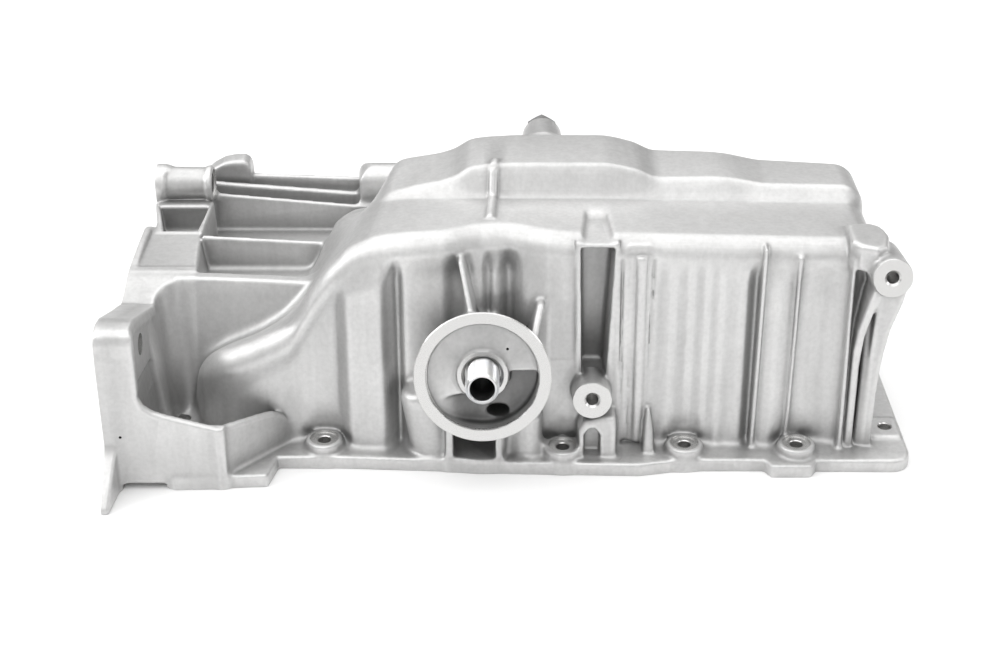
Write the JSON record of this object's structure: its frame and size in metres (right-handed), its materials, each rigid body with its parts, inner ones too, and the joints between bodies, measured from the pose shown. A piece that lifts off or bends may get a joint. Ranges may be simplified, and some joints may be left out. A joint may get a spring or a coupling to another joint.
{
  "type": "engine oil pan",
  "caption": "Cast aluminium oil pan with a round filter pad on its fluted side, a raised drain block and a ribbed transmission end.",
  "frame": {"origin": "middle of the block joint face, which the pan lies on", "axes": "+Z from the joint face towards the pan floor, +X towards the timing end, -Y towards the filter pad"},
  "size_m": [0.452, 0.29, 0.1525],
  "materials": {
    "cast_aluminium": "as cast, satin, with machined faces",
    "plated_steel": "zinc plated, turned",
    "plug_steel": "zinc plated, forged head",
    "washer_metal": "soft aluminium, turned"
  },
  "bodies": {
    "root": {"pan_casting": "cast_aluminium", "filter_nipple": "plated_steel", "drain_plug": "plug_steel", "drain_washer": "washer_metal"}
  },
  "joints": []
}
